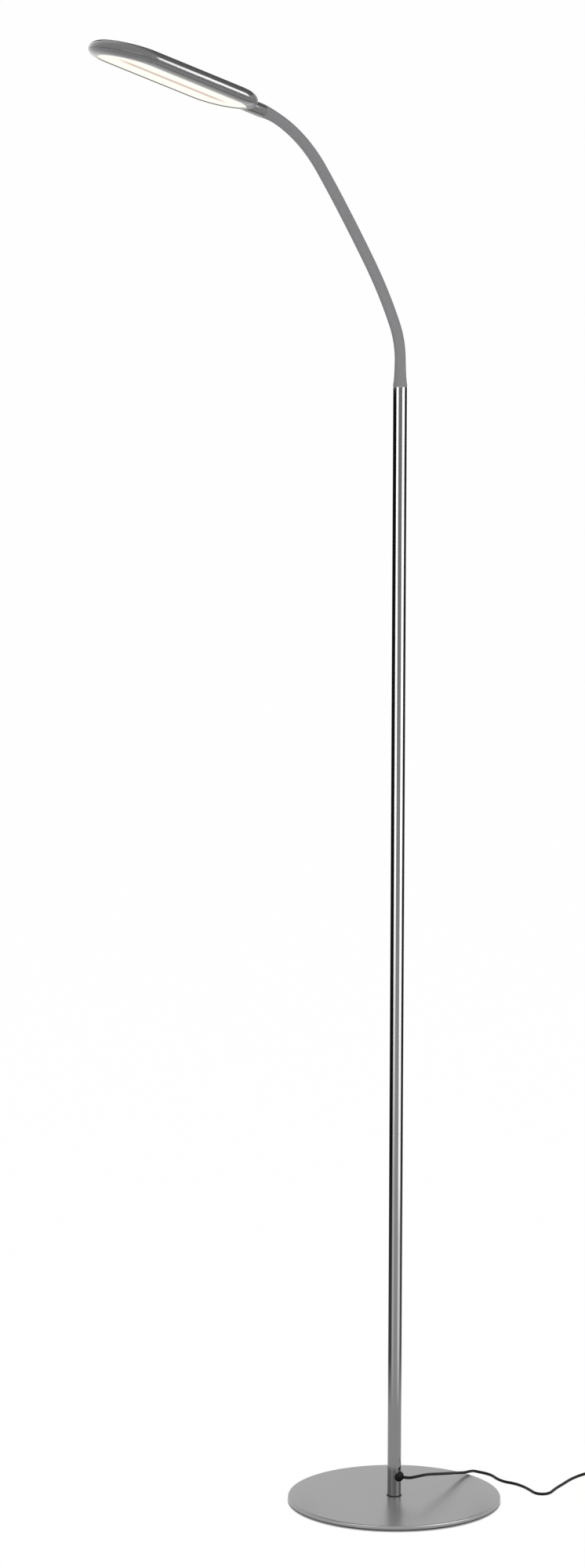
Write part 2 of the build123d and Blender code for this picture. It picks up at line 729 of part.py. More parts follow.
def least_gap(wire, spacing=2.0, skip=24.0):
    """The least gap between stretches of a wound tube that are not next to each other."""
    count = int(wire.length / spacing)
    points = [wire @ (index / count) for index in range(count + 1)]
    apart = int(skip / spacing)
    nearest = min((points[i] - points[j]).length
                  for i in range(len(points)) for j in range(i + apart, len(points)))
    return nearest - 2 * cord_radius


print("coil: half turns", len(half_turns), "least gap to itself", round(least_gap(coil_wire), 2))

# a strap holds the turns together on one side of the coil
with BuildPart() as coil_tie:
    coil_middle_y = coil_start.Y - coil_radius - step / 2
    tie_from_x = coil_start.X - coil_radius + step - cord_radius - tie_play
    climb_inside = innermost - step / 2 - cord_radius
    tie_to_x = coil_start.X - sqrt(climb_inside ** 2 - (tie_width / 2) ** 2) + tie_play
    tie_floor = coil_start.Z - cord_radius - tie_play
    tie_height = (coil_layers - 1) * turn_pitch + 2 * cord_radius + 2 * tie_play
    with BuildSketch(Plane(origin=((tie_from_x + tie_to_x) / 2, coil_middle_y + tie_width / 2,
                                   tie_floor + tie_height / 2), x_dir=(1, 0, 0), z_dir=(0, -1, 0))):
        RectangleRounded(tie_to_x - tie_from_x + 2 * tie_thickness, tie_height + 2 * tie_thickness, 1.5)
        RectangleRounded(tie_to_x - tie_from_x, tie_height, 0.9, mode=Mode.SUBTRACT)
    extrude(amount=tie_width)
coil_tie.part.label = "coil_tie"
export_step(coil_tie.part, "parts/coil_tie.step")

# ---------------------------------------------------------------- cord from coil to adapter
adapter_axis_z = adapter_height / 2
tail_route = [
    coil_end, coil_end + Vector(10.0, 0, 0), (287.0, -95.9, 13.9), (298.5, -98.6, 12.6),
    (308.0, -104.6, 12.5), (adapter_x, -113.6, adapter_axis_z), (adapter_x, relief_tip_y, adapter_axis_z),
]
tail_radii = corner_radii(tail_route)
with BuildPart() as cord_tail:
    with BuildLine() as tail_line:
        FilletPolyline(*tail_route, radius=tail_radii)
    with BuildSketch(Plane(origin=coil_end, z_dir=(1, 0, 0))):
        Circle(cord_radius)
    sweep()
cord_tail.part.label = "cord_tail"
export_step(cord_tail.part, "parts/cord_tail.step")
print("tail radii:", [round(radius, 1) for radius in tail_radii])
report_tube("cord_tail", cord_tail.part, tail_line.wires()[0].length)

# ---------------------------------------------------------------- wall adapter
adapter_back = relief_tip_y - relief_length
relief_plane = Plane(origin=(adapter_x, relief_tip_y, adapter_axis_z), x_dir=(1, 0, 0), z_dir=(0, 0, 1))
with BuildPart() as adapter_strain_relief:
    with BuildSketch(relief_plane):
        with BuildLine():
            Polyline((0, 0), (2.6, 0), (3.9, -relief_length), (0, -relief_length), close=True)
        make_face()
        with Locations((4.0, -3.4), (4.2, -6.0), (4.4, -8.6)):
            Rectangle(1.8, 1.1, mode=Mode.SUBTRACT)
    revolve(axis=Axis((adapter_x, relief_tip_y, adapter_axis_z), (0, -1, 0)))
adapter_strain_relief.part.label = "adapter_strain_relief"
export_step(adapter_strain_relief.part, "parts/adapter_strain_relief.step")

with BuildPart() as adapter_body:
    with BuildSketch(Plane(origin=(adapter_x, adapter_back, adapter_axis_z), x_dir=(1, 0, 0), z_dir=(0, -1, 0))):
        RectangleRounded(adapter_width, adapter_height, adapter_round)
    extrude(amount=adapter_length)
    fillet(adapter_body.edges().group_by(Axis.Y)[-1], radius=2)
adapter_body.part.label = "adapter_body"
export_step(adapter_body.part, "parts/adapter_body.step")

cover_back = adapter_back - adapter_length
with BuildPart() as adapter_cover:
    with BuildSketch(Plane(origin=(adapter_x, cover_back, adapter_axis_z), x_dir=(1, 0, 0), z_dir=(0, -1, 0))):
        RectangleRounded(adapter_width, adapter_height, adapter_round)
    extrude(amount=cover_thickness)
    fillet(adapter_cover.edges().group_by(Axis.Y)[0], radius=1)
adapter_cover.part.label = "adapter_cover"
export_step(adapter_cover.part, "parts/adapter_cover.step")

cover_face = cover_back - cover_thickness
with BuildPart() as adapter_blades:
    for side in (-1, 1):
        blade_x = adapter_x + side * blade_spacing / 2
        with BuildSketch(Plane(origin=(blade_x - blade_thickness / 2, cover_face, adapter_axis_z),
                               x_dir=(0, -1, 0), z_dir=(1, 0, 0))):
            with Locations((blade_length / 2, 0)):
                RectangleRounded(blade_length, blade_width, 0.6)
            with Locations((blade_length - 4.5, 0)):
                Circle(blade_hole_radius, mode=Mode.SUBTRACT)
        extrude(amount=blade_thickness)
adapter_blades.part.label = "adapter_blades"
export_step(adapter_blades.part, "parts/adapter_blades.step")

for number, place in enumerate(joints_at, start=1):
    print(f"joint {number}: x {-place[0]:.3f} z {place[1]:.3f} lean {place[2]:.1f}")
print(f"head centre {head_centre.X:.2f} {head_centre.Z:.2f}, lean {neck_end[2]:.1f}")
print(f"whole cord about {free_line.wires()[0].length + coil_wire.length + tail_line.wires()[0].length:.0f}")
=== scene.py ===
import json
from math import cos, pi, radians, sin

import bmesh
import bpy
from mathutils import Matrix, Vector

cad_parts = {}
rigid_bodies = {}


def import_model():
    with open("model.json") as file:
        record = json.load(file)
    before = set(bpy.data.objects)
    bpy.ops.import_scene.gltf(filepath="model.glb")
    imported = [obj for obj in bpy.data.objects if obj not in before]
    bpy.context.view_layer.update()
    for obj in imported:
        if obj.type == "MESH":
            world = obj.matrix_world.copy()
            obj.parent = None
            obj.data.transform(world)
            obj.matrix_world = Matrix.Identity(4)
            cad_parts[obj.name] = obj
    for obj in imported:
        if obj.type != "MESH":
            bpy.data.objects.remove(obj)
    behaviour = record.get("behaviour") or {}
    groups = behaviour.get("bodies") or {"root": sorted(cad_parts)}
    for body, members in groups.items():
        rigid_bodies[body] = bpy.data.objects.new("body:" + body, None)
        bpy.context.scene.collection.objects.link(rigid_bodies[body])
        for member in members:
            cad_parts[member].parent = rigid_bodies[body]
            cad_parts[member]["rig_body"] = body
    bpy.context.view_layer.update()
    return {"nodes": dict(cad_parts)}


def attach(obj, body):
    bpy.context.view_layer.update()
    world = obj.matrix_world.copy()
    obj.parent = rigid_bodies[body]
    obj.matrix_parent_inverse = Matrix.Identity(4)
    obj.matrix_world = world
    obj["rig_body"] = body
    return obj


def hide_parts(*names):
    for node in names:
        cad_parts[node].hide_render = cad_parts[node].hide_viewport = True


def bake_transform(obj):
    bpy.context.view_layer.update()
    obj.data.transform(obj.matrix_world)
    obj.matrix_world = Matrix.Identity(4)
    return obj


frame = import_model()

# ---------------------------------------------------------------- camera
# A long lens a little above the lamp, far off on the side of the cord. Its place, turn and
# focal length are those that fit the photo's outlines.
camera = bpy.data.objects.new("camera", bpy.data.cameras.new("camera"))
bpy.context.scene.collection.objects.link(camera)
bpy.context.scene.camera = camera
photo_height = 2000
focal_length_px = 8100.65
sensor_side_mm = 36.0
camera.data.sensor_width = sensor_side_mm
camera.data.lens = focal_length_px / photo_height * sensor_side_mm
camera_place = (-5.13853, -5.04482, 2.190474)
camera_yaw = radians(44.56)
camera_pitch = radians(10.4926)
camera_roll = radians(0.134988)
camera.matrix_world = (Matrix.Translation(camera_place)
                       @ Matrix.Rotation(-camera_yaw, 4, "Z")
                       @ Matrix.Rotation(pi / 2 - camera_pitch, 4, "X")
                       @ Matrix.Rotation(camera_roll, 4, "Z"))

# ---------------------------------------------------------------- floor pad
# A thin black foam disc glued under the plate, a little smaller than it, so that the plate
# doesn't mark the floor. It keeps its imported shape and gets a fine-celled foam surface.
surface_masks = bpy.data.node_groups.new("surface masks", "ShaderNodeTree")
for socket, kind in [("Vector", "NodeSocketVector"), ("Broad Scale", "NodeSocketFloat"),
                     ("Fine Scale", "NodeSocketFloat")]:
    surface_masks.interface.new_socket(socket, in_out="INPUT", socket_type=kind)
for socket in ("Broad", "Fine"):
    surface_masks.interface.new_socket(socket, in_out="OUTPUT", socket_type="NodeSocketFloat")
mask_inputs = surface_masks.nodes.new("NodeGroupInput")
mask_outputs = surface_masks.nodes.new("NodeGroupOutput")
for mask, detail in [("Broad", 2.0), ("Fine", 3.0)]:
    noise = surface_masks.nodes.new("ShaderNodeTexNoise")
    noise.inputs["Detail"].default_value = detail
    surface_masks.links.new(mask_inputs.outputs["Vector"], noise.inputs["Vector"])
    surface_masks.links.new(mask_inputs.outputs[mask + " Scale"], noise.inputs["Scale"])
    surface_masks.links.new(noise.outputs["Fac"], mask_outputs.inputs[mask])


def finish(name, colours, roughness, broad, fine, depth, **sockets):
    """A material whose colour and roughness drift with a broad mask and whose bump is fine.

    colours and roughness are each a pair: the values at the mask's two ends. broad and fine are
    the two masks' scales, depth is the bump's height, and sockets are constants for the shader.
    """
    material = bpy.data.materials.new(name)
    material.use_nodes = True
    nodes, links = material.node_tree.nodes, material.node_tree.links
    shader = nodes["Principled BSDF"]
    place = nodes.new("ShaderNodeTexCoord")
    masks = nodes.new("ShaderNodeGroup")
    masks.node_tree = surface_masks
    masks.inputs["Broad Scale"].default_value = broad
    masks.inputs["Fine Scale"].default_value = fine
    links.new(place.outputs["Object"], masks.inputs["Vector"])
    colour = nodes.new("ShaderNodeMix")
    colour.data_type = "RGBA"
    colour.inputs[6].default_value = (*colours[0], 1)
    colour.inputs[7].default_value = (*colours[1], 1)
    links.new(masks.outputs["Broad"], colour.inputs[0])
    links.new(colour.outputs[2], shader.inputs["Base Color"])
    rough = nodes.new("ShaderNodeMapRange")
    rough.inputs["To Min"].default_value = roughness[0]
    rough.inputs["To Max"].default_value = roughness[1]
    links.new(masks.outputs["Broad"], rough.inputs["Value"])
    links.new(rough.outputs["Result"], shader.inputs["Roughness"])
    bump = nodes.new("ShaderNodeBump")
    bump.inputs["Distance"].default_value = depth
    links.new(masks.outputs["Fine"], bump.inputs["Height"])
    links.new(bump.outputs["Normal"], shader.inputs["Normal"])
    for socket, value in sockets.items():
        shader.inputs[socket.replace("_", " ")].default_value = value
    return material


def coat(piece, material):
    """Give a piece this one material."""
    piece.data.materials.clear()
    piece.data.materials.append(material)


foam = finish("black foam", [(0.010, 0.010, 0.010), (0.018, 0.018, 0.018)], (0.8, 0.95),
              30, 1500, 0.0003)
coat(frame["nodes"]["floor_pad"], foam)

# ---------------------------------------------------------------- base plate
# A round steel plate, blanked, with a rolled upper edge, and sprayed in satin silver-grey
# over the whole. It weighs the lamp down and is bolted to the pole from below.
plate_radius = 0.125
plate_bottom = 0.0015
plate_top = 0.006
rolled_edge = 0.002
broken_edge = 0.0004
edge_margin = 1e-4
merge_distance = 1e-6


def alone(piece):
    """Select this object only and make it the active one."""
    bpy.ops.object.select_all(action="DESELECT")
    piece.select_set(True)
    bpy.context.view_layer.objects.active = piece


def begin(name):
    """Name the primitive just added, put its place into its mesh and open it for editing."""
    piece = bpy.context.object
    piece.name = name
    piece.data.name = name
    alone(piece)
    bpy.ops.object.transform_apply(location=True, rotation=True, scale=True)
    bpy.ops.object.mode_set(mode="EDIT")
    bpy.ops.mesh.select_mode(type="VERT")
    return piece


def pick(piece, kind, test):
    """In edit mode, select the vertices, edges or faces whose middles pass a test."""
    bpy.ops.mesh.select_mode(type=kind)
    bpy.ops.mesh.select_all(action="DESELECT")
    shape = bmesh.from_edit_mesh(piece.data)
    for part in {"VERT": shape.verts, "EDGE": shape.edges, "FACE": shape.faces}[kind]:
        corners = [part] if kind == "VERT" else part.verts
        middle = sum((corner.co for corner in corners), Vector()) / len(corners)
        if test(middle):
            part.select_set(True)
    shape.select_flush_mode()
    bmesh.update_edit_mesh(piece.data)


def close(piece, smooth=35):
    """Leave edit mode and shade smooth but for edges sharper than an angle in degrees."""
    bpy.ops.object.mode_set(mode="OBJECT")
    alone(piece)
    bpy.ops.object.shade_smooth_by_angle(angle=radians(smooth))


def modify(piece, kind, **settings):
    """Add a modifier with these settings and apply it."""
    alone(piece)
    modifier = piece.modifiers.new(kind.lower(), kind)
    for setting, value in settings.items():
        setattr(modifier, setting, value)
    bpy.ops.object.modifier_apply(modifier=modifier.name)


bpy.ops.object.select_all(action="DESELECT")
bpy.ops.mesh.primitive_cylinder_add(vertices=192, radius=plate_radius, depth=plate_top - plate_bottom,
                                    location=(0, 0, (plate_top + plate_bottom) / 2))
plate = begin("base_disc")
well_out = 0.9 * plate_radius
pick(plate, "EDGE", lambda middle: middle.z > plate_top - edge_margin and middle.xy.length > well_out)
bpy.ops.mesh.bevel(offset=rolled_edge, segments=7)
pick(plate, "EDGE", lambda middle: middle.z < plate_bottom + edge_margin and middle.xy.length > well_out)
bpy.ops.mesh.bevel(offset=broken_edge, segments=2)
flat_inset = 0.0008
for height in (plate_top, plate_bottom):
    pick(plate, "FACE", lambda middle: (middle - Vector((0, 0, height))).length < merge_distance)
    bpy.ops.mesh.inset(thickness=flat_inset)
close(plate)
satin_paint = finish("satin silver paint", [(0.31, 0.31, 0.31), (0.33, 0.33, 0.326)], (0.27, 0.31),
                     9, 900, 0.0000015, Metallic=0.6)
coat(plate, satin_paint)
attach(plate, "stand")
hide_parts("base_plate")

# ---------------------------------------------------------------- base bolt
# A low-headed M8 bolt comes up through the plate's counterbore into the insert in the pole's
# foot. Bolt, insert and the pole's couplers are turned or formed in steel and zinc-plated.
zinc = finish("zinc-plated steel", [(0.42, 0.42, 0.43), (0.55, 0.54, 0.52)], (0.25, 0.4),
              120, 1400, 0.00001, Metallic=1.0)
for node in ("base_bolt", "pole_foot_insert", "pole_lower_coupler", "pole_upper_coupler"):
    coat(frame["nodes"][node], zinc)

# ---------------------------------------------------------------- pole
# Three thin steel tubes of one length screwed end to end, bright-polished and plated dark
# nickel; their ends meet in hairlines. Insert and couplers stay hidden inside.
pole_radius = 0.008
pole_wall = 0.001
pole_top = 1.319
section_length = (pole_top - plate_top) / 3
nickel = finish("dark nickel plating", [(0.215, 0.215, 0.22), (0.235, 0.235, 0.24)], (0.09, 0.13),
                14, 700, 0.0000015, Metallic=1.0)
bpy.ops.object.select_all(action="DESELECT")
bpy.ops.mesh.primitive_circle_add(vertices=96, radius=pole_radius, location=(0, 0, plate_top))
lowest_tube = begin("pole_tube_lower")
tube_end = 0.001
tube_edge = 0.00012
bpy.ops.mesh.select_all(action="SELECT")
for length in (tube_end, section_length - 2 * tube_end, tube_end):
    bpy.ops.mesh.extrude_region_move(TRANSFORM_OT_translate={"value": (0, 0, length)})
bpy.ops.mesh.select_all(action="SELECT")
bpy.ops.mesh.normals_make_consistent(inside=False)
close(lowest_tube)
modify(lowest_tube, "SOLIDIFY", thickness=pole_wall, offset=-1)
modify(lowest_tube, "BEVEL", width=tube_edge, segments=2, limit_method="ANGLE")
coat(lowest_tube, nickel)
pole_tubes = [lowest_tube]
for number, name in enumerate(("pole_tube_middle", "pole_tube_upper"), start=1):
    tube = bpy.data.objects.new(name, lowest_tube.data.copy())
    bpy.context.scene.collection.objects.link(tube)
    tube.data.transform(Matrix.Translation((0, 0, section_length * number)))
    pole_tubes.append(tube)
for tube, node in zip(pole_tubes, ("pole_lower_tube", "pole_middle_tube", "pole_upper_tube")):
    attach(tube, "stand")
    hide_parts(node)

# ---------------------------------------------------------------- foot ring
# A thin black rubber ring lies in the corner between the pole's foot and the plate; it shows there as a
# dark line.
rubber = finish("black rubber", [(0.002, 0.002, 0.002), (0.004, 0.004, 0.004)], (0.5, 0.62),
                60, 1100, 0.00002, Specular_IOR_Level=0.15)
ring_thickness = 0.001
ring_radius = ring_thickness / 2
ring_play = 0.0002
bpy.ops.object.select_all(action="DESELECT")
bpy.ops.mesh.primitive_torus_add(major_segments=96, minor_segments=12, major_radius=pole_radius + ring_play,
                                 minor_radius=ring_radius, location=(0, 0, plate_top + ring_radius))
foot_ring = begin("foot_ring")
close(foot_ring, 180)
coat(foot_ring, rubber)
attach(foot_ring, "stand")

# ---------------------------------------------------------------- grommet
# A domed plug moulded in black rubber and pressed into the pole's side low down, where the
# cord comes out.
def smoothed_copy(node, name, smooth=35):
    """A CAD node's own mesh, merged and smoothly shaded, to stand for the node."""
    source = frame["nodes"][node]
    piece = bpy.data.objects.new(name, source.data.copy())
    bpy.context.scene.collection.objects.link(piece)
    alone(piece)
    bpy.ops.mesh.customdata_custom_splitnormals_clear()
    bpy.ops.object.mode_set(mode="EDIT")
    bpy.ops.mesh.select_all(action="SELECT")
    bpy.ops.mesh.remove_doubles(threshold=merge_distance)
    close(piece, smooth)
    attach(piece, source["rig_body"])
    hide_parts(node)
    return piece


grommet = smoothed_copy("cord_grommet", "grommet_dome")
coat(grommet, rubber)

# ---------------------------------------------------------------- gooseneck core and lead
# A wound steel core, pressed into an end fitting below and into the head's collar above,
# stays hidden under the sleeve; so does the thin lead that climbs inside the pole.
core_nodes = ["gooseneck_lower_ferrule", "gooseneck_core_lower_end", "gooseneck_core_upper_end"]
core_nodes += [f"gooseneck_core_{number}" for number in range(1, 9)]
for node in core_nodes:
    coat(frame["nodes"][node], zinc)
coat(frame["nodes"]["pole_lead"], rubber)

# ---------------------------------------------------------------- gooseneck sleeve
# One soft grey rubber hose pulled over the core. It flares out to the pole's diameter at its foot and to
# the collar's at its head, and its pieces follow the core's bends along its length.
sleeve_radius = 0.0063
sleeve_wall = 0.0012
lower_end_length = 0.028
link_length = 0.0438
link_bends = [24.5, 5.0, 4.0, 1.0, 1.0, 1.5, 11.5, 12.0]
upper_end_length = 0.030
upper_end_bend = 10.5
sleeve_rubber = finish("grey sleeve rubber", [(0.205, 0.198, 0.208), (0.235, 0.228, 0.238)], (0.62, 0.75),
                       40, 1800, 0.000012)


def along(place, length, bend):
    """(reach, height, lean) after an arc of this length that leans over by this much more."""
    reach, height, lean = place
    half_bend = radians(bend) / 2
    chord = length * sin(half_bend) / half_bend if bend else length
    direction = radians(lean) + half_bend
    return reach + chord * sin(direction), height + chord * cos(direction), lean + bend


def spot(place):
    """The point in space of a place on the gooseneck."""
    return Vector((-place[0], 0, place[1]))


def heading(place):
    """The direction of the gooseneck at a place."""
    return Vector((-sin(radians(place[2])), 0, cos(radians(place[2]))))


def carry_ring(place, length, bend, rings, scales=None):
    """In edit mode, extrude the selected ring along an arc of the gooseneck, scaling as it goes."""
    scales = scales or [1.0] * (rings + 1)
    here = place
    for ring in range(rings):
        there = along(here, length / rings, bend / rings)
        bpy.ops.mesh.extrude_region_move(TRANSFORM_OT_translate={"value": spot(there) - spot(here)})
        bpy.ops.transform.rotate(value=radians(bend / rings), orient_axis="Y", center_override=spot(there))
        ratio = scales[ring + 1] / scales[ring]
        if ratio != 1:
            bpy.ops.transform.resize(value=(ratio, ratio, ratio), center_override=spot(there))
        here = there
    return here


joint_places = [(0.0, pole_top + lower_end_length, 0.0)]
for link_bend in link_bends:
    joint_places.append(along(joint_places[-1], link_length, link_bend))
neck_end = along(joint_places[-1], upper_end_length, upper_end_bend)
lower_flare = [1.302, 1.215, 1.155, 1.11, 1.08, 1.055, 1.035, 1.02, 1.01]
upper_flare = [1.0, 1.0, 1.005, 1.02, 1.045, 1.075, 1.11, 1.15, 1.2]
end_rings = len(upper_flare) - 1
half_link_rings = 12
sleeve_smoothing = 60

for number, joint_place in enumerate(joint_places, start=1):
    first = number == 1
    last = number == len(joint_places)
    below = (0.0, pole_top, 0.0) if first else along(joint_places[number - 2], link_length / 2,
                                                      link_bends[number - 2] / 2)
    radius = sleeve_radius * (lower_flare[0] if first else 1)
    bpy.ops.object.select_all(action="DESELECT")
    bpy.ops.mesh.primitive_circle_add(vertices=40, radius=radius, location=spot(below),
                                      rotation=(0, -radians(below[2]), 0))
    sleeve = begin(f"sleeve_bend_{number}")
    bpy.ops.mesh.select_all(action="SELECT")
    if first:
        at_joint = carry_ring(below, lower_end_length, 0, end_rings, lower_flare)
    else:
        at_joint = carry_ring(below, link_length / 2, link_bends[number - 2] / 2, half_link_rings)
    if last:
        carry_ring(at_joint, upper_end_length, upper_end_bend, end_rings, upper_flare)
    elif first:
        carry_ring(at_joint, link_length / 2, link_bends[0] / 2, half_link_rings,
                   [lower_flare[-1]] + [1.0] * half_link_rings)
    else:
        carry_ring(at_joint, link_length / 2, link_bends[number - 1] / 2, half_link_rings)
    bpy.ops.mesh.select_all(action="SELECT")
    bpy.ops.mesh.normals_make_consistent(inside=False)
    close(sleeve, sleeve_smoothing)
    modify(sleeve, "SOLIDIFY", thickness=sleeve_wall, offset=-1)
    bpy.ops.object.shade_smooth_by_angle(angle=radians(sleeve_smoothing))
    coat(sleeve, sleeve_rubber)
    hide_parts(*(["gooseneck_sleeve_lower_end"] if first else []),
                "gooseneck_sleeve_upper_end" if last else f"gooseneck_sleeve_{number}")
    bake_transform(sleeve)

# ---------------------------------------------------------------- head housing
# The upper half of the head: a long shell moulded in glossy grey plastic, flat on top, with
# an elliptical rim all round. It closes on the bezel in a fine parting line.
half_straight = 0.069
rim_centre = 0.035
rim_centre_height = 0.006
rim_width = 0.0112
rim_drop = 0.0072
rim_rise = 0.0098
parting_height = 0.0045
parting_gap = 0.0003
lip_depth = 0.0025
shell_wall = 0.0016
shell_edge = 0.00015
neck_length = 0.027
neck_height = 0.0072
head_end = half_straight + rim_centre + rim_width
head_tilt = radians(90 - neck_end[2])
to_tip = heading(neck_end)
through_head = Vector((sin(head_tilt), 0, cos(head_tilt)))
head_centre = spot(neck_end) + to_tip * (head_end + neck_length) - through_head * neck_height
head_place = (Matrix.Translation(head_centre) @ Matrix.Rotation(head_tilt, 4, "Y")
              @ Matrix.Rotation(pi, 4, "Z"))


def rim_profile(name):
    """Start a piece as the rim's section, an ellipse with a higher upper half, at one side."""
    bpy.ops.object.select_all(action="DESELECT")
    bpy.ops.mesh.primitive_circle_add(vertices=96, radius=rim_width,
                                      location=(half_straight, -rim_centre, rim_centre_height),
                                      rotation=(0, pi / 2, 0))
    piece = begin(name)
    middle_point = (half_straight, -rim_centre, rim_centre_height)
    for above_middle, height in [(1, rim_rise), (-1, rim_drop)]:
        pick(piece, "VERT", lambda middle: (middle.z - rim_centre_height) * above_middle > merge_distance)
        bpy.ops.transform.resize(value=(1, 1, height / rim_width), center_override=middle_point)
    bpy.ops.mesh.select_all(action="SELECT")
    bpy.ops.mesh.bisect(plane_co=middle_point, plane_no=(0, 1, 0), clear_outer=True)
    return piece


def carry_round(piece):
    """Carry the whole profile round the head: a half turn, a straight side, and again."""
    bpy.ops.mesh.select_all(action="SELECT")
    for end in (1, -1):
        bpy.ops.mesh.spin(steps=40, angle=-pi, center=(end * half_straight, 0, 0), axis=(0, 0, 1))
        bpy.ops.mesh.extrude_region_move(
            TRANSFORM_OT_translate={"value": (-2 * end * half_straight, 0, 0)})
    bpy.ops.mesh.select_all(action="SELECT")
    bpy.ops.mesh.remove_doubles(threshold=merge_distance)


def put_on_head(piece, material):
    """Tilt a piece modelled level round the origin to the head's place."""
    piece.data.transform(head_place)
    coat(piece, material)
    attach(piece, "head")


gloss_grey = finish("glossy grey plastic", [(0.13, 0.13, 0.132), (0.142, 0.142, 0.144)], (0.1, 0.13),
                    20, 800, 0.0000005, Coat_Weight=0.8, Coat_Roughness=0.04)
housing_foot = parting_height + parting_gap
housing = rim_profile("head_shell")
bpy.ops.mesh.select_all(action="SELECT")
bpy.ops.mesh.bisect(plane_co=(0, 0, housing_foot), plane_no=(0, 0, 1), clear_inner=True)
pick(housing, "VERT", lambda middle: middle.z < housing_foot + merge_distance)
bpy.ops.mesh.extrude_region_move(TRANSFORM_OT_translate={"value": (0, lip_depth, 0)})
carry_round(housing)
top_height = rim_centre_height + rim_rise
top_inset = 0.001
pick(housing, "EDGE", lambda middle: middle.z > top_height - merge_distance)
bpy.ops.mesh.edge_face_add()
pick(housing, "FACE", lambda middle: (middle.z > top_height - merge_distance
                                      and middle.xy.length < rim_centre))
bpy.ops.mesh.inset(thickness=top_inset)
bpy.ops.mesh.select_all(action="SELECT")
bpy.ops.mesh.normals_make_consistent(inside=False)
close(housing)
modify(housing, "SOLIDIFY", thickness=shell_wall, offset=-1)
modify(housing, "BEVEL", width=shell_edge, segments=3, limit_method="ANGLE", angle_limit=radians(50),
       harden_normals=True)
put_on_head(housing, gloss_grey)
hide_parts("head_housing")

# ---------------------------------------------------------------- head bezel
# The lower half: a ring in the same plastic that snaps into the housing and holds the
# diffuser behind its lip.
panel_radius = 0.0347
panel_sunk = 0.00005
bezel_wall = 0.0009
bezel_edge = 0.00012
rim_bottom = rim_centre_height - rim_drop
bezel = rim_profile("head_ring")
bpy.ops.mesh.select_all(action="SELECT")
bpy.ops.mesh.bisect(plane_co=(0, 0, parting_height), plane_no=(0, 0, 1), clear_outer=True)
pick(bezel, "VERT", lambda middle: middle.z > parting_height - merge_distance)
bpy.ops.mesh.extrude_region_move(TRANSFORM_OT_translate={"value": (0, lip_depth, 0)})
pick(bezel, "VERT", lambda middle: middle.z < rim_bottom + merge_distance)
bpy.ops.mesh.extrude_region_move(TRANSFORM_OT_translate={"value": (0, rim_centre - panel_radius, 0)})
bpy.ops.mesh.extrude_region_move(TRANSFORM_OT_translate={"value": (0, 0, -rim_bottom - panel_sunk)})
carry_round(bezel)
bpy.ops.mesh.select_all(action="SELECT")
bpy.ops.mesh.normals_make_consistent(inside=False)
close(bezel)
modify(bezel, "SOLIDIFY", thickness=bezel_wall, offset=-1)
modify(bezel, "BEVEL", width=bezel_edge, segments=3, limit_method="ANGLE", angle_limit=radians(50),
       harden_normals=True)
put_on_head(bezel, gloss_grey)
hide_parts("head_bezel")

# ---------------------------------------------------------------- head neck
# A short round collar in the same glossy plastic, moulded on the head's rounded end. The
# gooseneck's core is pressed into it, and the sleeve's flare butts against it.
collar_radius = 0.0077
collar_edge = 0.0005
collar_stop = 0.002
collar_length = neck_length + rim_width - collar_stop
collar_start = -head_end - neck_length
bpy.ops.object.select_all(action="DESELECT")
bpy.ops.mesh.primitive_cylinder_add(vertices=64, radius=collar_radius, depth=collar_length,
                                    location=(collar_start + collar_length / 2, 0, neck_height),
                                    rotation=(0, pi / 2, 0))
collar = begin("head_collar")
pick(collar, "EDGE", lambda middle: middle.x < collar_start + edge_margin)
bpy.ops.mesh.bevel(offset=collar_edge, segments=3)
close(collar)
put_on_head(collar, gloss_grey)
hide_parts("head_neck")

# ---------------------------------------------------------------- diffuser
# A frosted plastic sheet, held behind the bezel's lip. A row of warm LEDs behind it lights it
# evenly and shows through it as a peach streak along its middle.
streak_half_width = 0.0095
streak_full_to = 0.06
streak_gone_at = 0.098
warm_white = (1.0, 0.965, 0.86, 1)
led_peach = (0.56, 0.41, 0.34, 1)
glow_strength = 0.94
glow = finish("frosted diffuser", [(0.1, 0.097, 0.09), (0.12, 0.117, 0.11)], (0.5, 0.6), 30, 1500, 0.00001,
              Specular_IOR_Level=0.1)
nodes, links = glow.node_tree.nodes, glow.node_tree.links
place = nodes.new("ShaderNodeTexCoord")
level = nodes.new("ShaderNodeMapping")
level.vector_type = "TEXTURE"
level.inputs["Location"].default_value = head_centre
level.inputs["Rotation"].default_value = head_place.to_euler()
links.new(place.outputs["Object"], level.inputs["Vector"])
apart = nodes.new("ShaderNodeSeparateXYZ")
links.new(level.outputs["Vector"], apart.inputs["Vector"])
across = nodes.new("ShaderNodeMath")
across.operation = "ABSOLUTE"
links.new(apart.outputs["Y"], across.inputs[0])
streak = nodes.new("ShaderNodeMapRange")
streak.interpolation_type = "SMOOTHERSTEP"
streak.inputs["From Min"].default_value = streak_half_width
streak.inputs["From Max"].default_value = 0.0
links.new(across.outputs["Value"], streak.inputs["Value"])
lengthwise = nodes.new("ShaderNodeMath")
lengthwise.operation = "ABSOLUTE"
links.new(apart.outputs["X"], lengthwise.inputs[0])
fade = nodes.new("ShaderNodeMapRange")
fade.interpolation_type = "SMOOTHERSTEP"
fade.inputs["From Min"].default_value = streak_gone_at
fade.inputs["From Max"].default_value = streak_full_to
links.new(lengthwise.outputs["Value"], fade.inputs["Value"])
streak_mask = nodes.new("ShaderNodeMath")
streak_mask.operation = "MULTIPLY"
links.new(streak.outputs["Result"], streak_mask.inputs[0])
links.new(fade.outputs["Result"], streak_mask.inputs[1])
lit = nodes.new("ShaderNodeMix")
lit.data_type = "RGBA"
lit.inputs[6].default_value = warm_white
lit.inputs[7].default_value = led_peach
